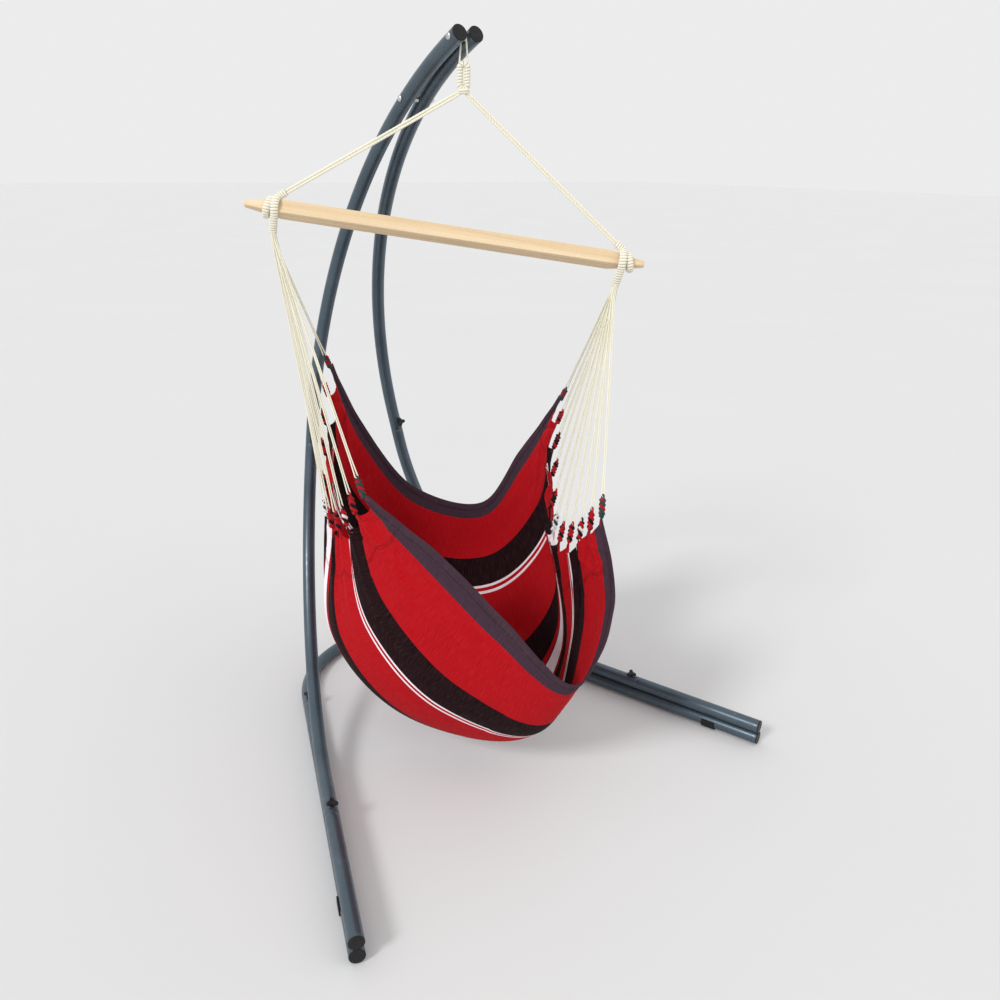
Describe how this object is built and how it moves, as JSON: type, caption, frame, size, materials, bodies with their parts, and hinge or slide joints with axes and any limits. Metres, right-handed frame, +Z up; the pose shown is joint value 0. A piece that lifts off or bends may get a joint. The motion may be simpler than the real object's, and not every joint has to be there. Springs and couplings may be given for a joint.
{
  "type": "hammock on stand",
  "caption": "Hanging hammock chair of striped cotton on a wooden spreader bar, hung from a two-armed curved tube stand with a U-shaped floor frame.",
  "frame": {"origin": "middle of the bounding box, on the floor", "axes": "+Z up; +X to the stand's right seen from its open front; +Y from the open front towards the closed rear bend. The stand is mirror-symmetric about X = 0 and the chair hangs turned 36.9 degrees about Z"},
  "size_m": [1.5114, 1.3856, 2.1019],
  "materials": {
    "tube": "satin",
    "plastic": "matte",
    "bolt": "gloss",
    "cord": "matte",
    "wood": "satin",
    "cloth": "matte"
  },
  "bodies": {
    "stand": {"leg_tube_left": "tube", "leg_tube_right": "tube", "lower_arm_left": "tube", "lower_arm_right": "tube", "upper_arm_left": "tube", "upper_arm_right": "tube", "base_tube_left": "tube", "base_tube_right": "tube", "rear_bend": "tube", "leg_cap_left": "plastic", "leg_cap_right": "plastic", "base_cap_left": "plastic", "base_cap_right": "plastic", "arm_cap_left": "plastic", "arm_cap_right": "plastic", "floor_clip_left": "plastic", "floor_clip_right": "plastic", "floor_clip_rear": "plastic", "hanger_bolt": "bolt", "hanger_nut": "bolt", "hanger_spacer": "bolt", "tie_bolt": "bolt", "tie_nut": "bolt", "tie_spacer": "bolt"},
    "cord_loop": {"hanging_cord": "cord"},
    "eye": {"wrapped_eye": "cord"},
    "bar": {"spreader_bar": "wood", "end_ring_left": "cord", "end_ring_right": "cord", "rope_left": "cord", "rope_right": "cord"},
    "seat": {"seat_cloth": "cloth", "string_fan_left": "cord", "string_fan_right": "cord", "string_shank_left": "cord", "string_shank_right": "cord"},
    "leg_knob_left": {"leg_knob_left": "plastic"},
    "leg_knob_right": {"leg_knob_right": "plastic"},
    "mid_knob_left": {"mid_knob_left": "plastic"},
    "mid_knob_right": {"mid_knob_right": "plastic"},
    "rear_knob_left": {"rear_knob_left": "plastic"},
    "rear_knob_right": {"rear_knob_right": "plastic"}
  },
  "joints": [
    {"name": "chair_swing", "type": "hinge", "parent": "stand", "child": "cord_loop", "pos_m": [0, -0.0439, 2.0738], "axis": [1, 0, 0], "range_deg": [-20, 2]},
    {"name": "cord_twist", "type": "hinge", "parent": "cord_loop", "child": "eye", "pos_m": [0, -0.0439, 2.0155], "axis": [0, 0, 1], "range_deg": [-15, 15]},
    {"name": "bar_tilt", "type": "hinge", "parent": "eye", "child": "bar", "pos_m": [0, -0.0439, 1.9655], "axis": [-0.6004, -0.7997, 0], "range_deg": [-4, 4]},
    {"name": "seat_swing", "type": "hinge", "parent": "bar", "child": "seat", "pos_m": [-0.0384, -0.0151, 1.594], "axis": [0.7928, -0.5953, -0.1305], "range_deg": [-10, 5]},
    {"name": "leg_knob_left_turn", "type": "hinge", "parent": "stand", "child": "leg_knob_left", "pos_m": [-0.5817, -0.243, 0.0869], "axis": [0.1186, -0.0406, 0.9921], "continuous": true},
    {"name": "leg_knob_right_turn", "type": "hinge", "parent": "stand", "child": "leg_knob_right", "pos_m": [0.5817, -0.243, 0.0869], "axis": [-0.1186, -0.0406, 0.9921], "continuous": true},
    {"name": "mid_knob_left_turn", "type": "hinge", "parent": "stand", "child": "mid_knob_left", "pos_m": [-0.1738, 0.6423, 0.8716], "axis": [-0.302, -0.9412, 0.1518], "continuous": true},
    {"name": "mid_knob_right_turn", "type": "hinge", "parent": "stand", "child": "mid_knob_right", "pos_m": [0.1738, 0.6423, 0.8716], "axis": [0.302, -0.9412, 0.1518], "continuous": true},
    {"name": "rear_knob_left_turn", "type": "hinge", "parent": "stand", "child": "rear_knob_left", "pos_m": [-0.3828, 0.3462, 0.0448], "axis": [0, 0, 1], "continuous": true},
    {"name": "rear_knob_right_turn", "type": "hinge", "parent": "stand", "child": "rear_knob_right", "pos_m": [0.3828, 0.3462, 0.0448], "axis": [0, 0, 1], "continuous": true}
  ]
}
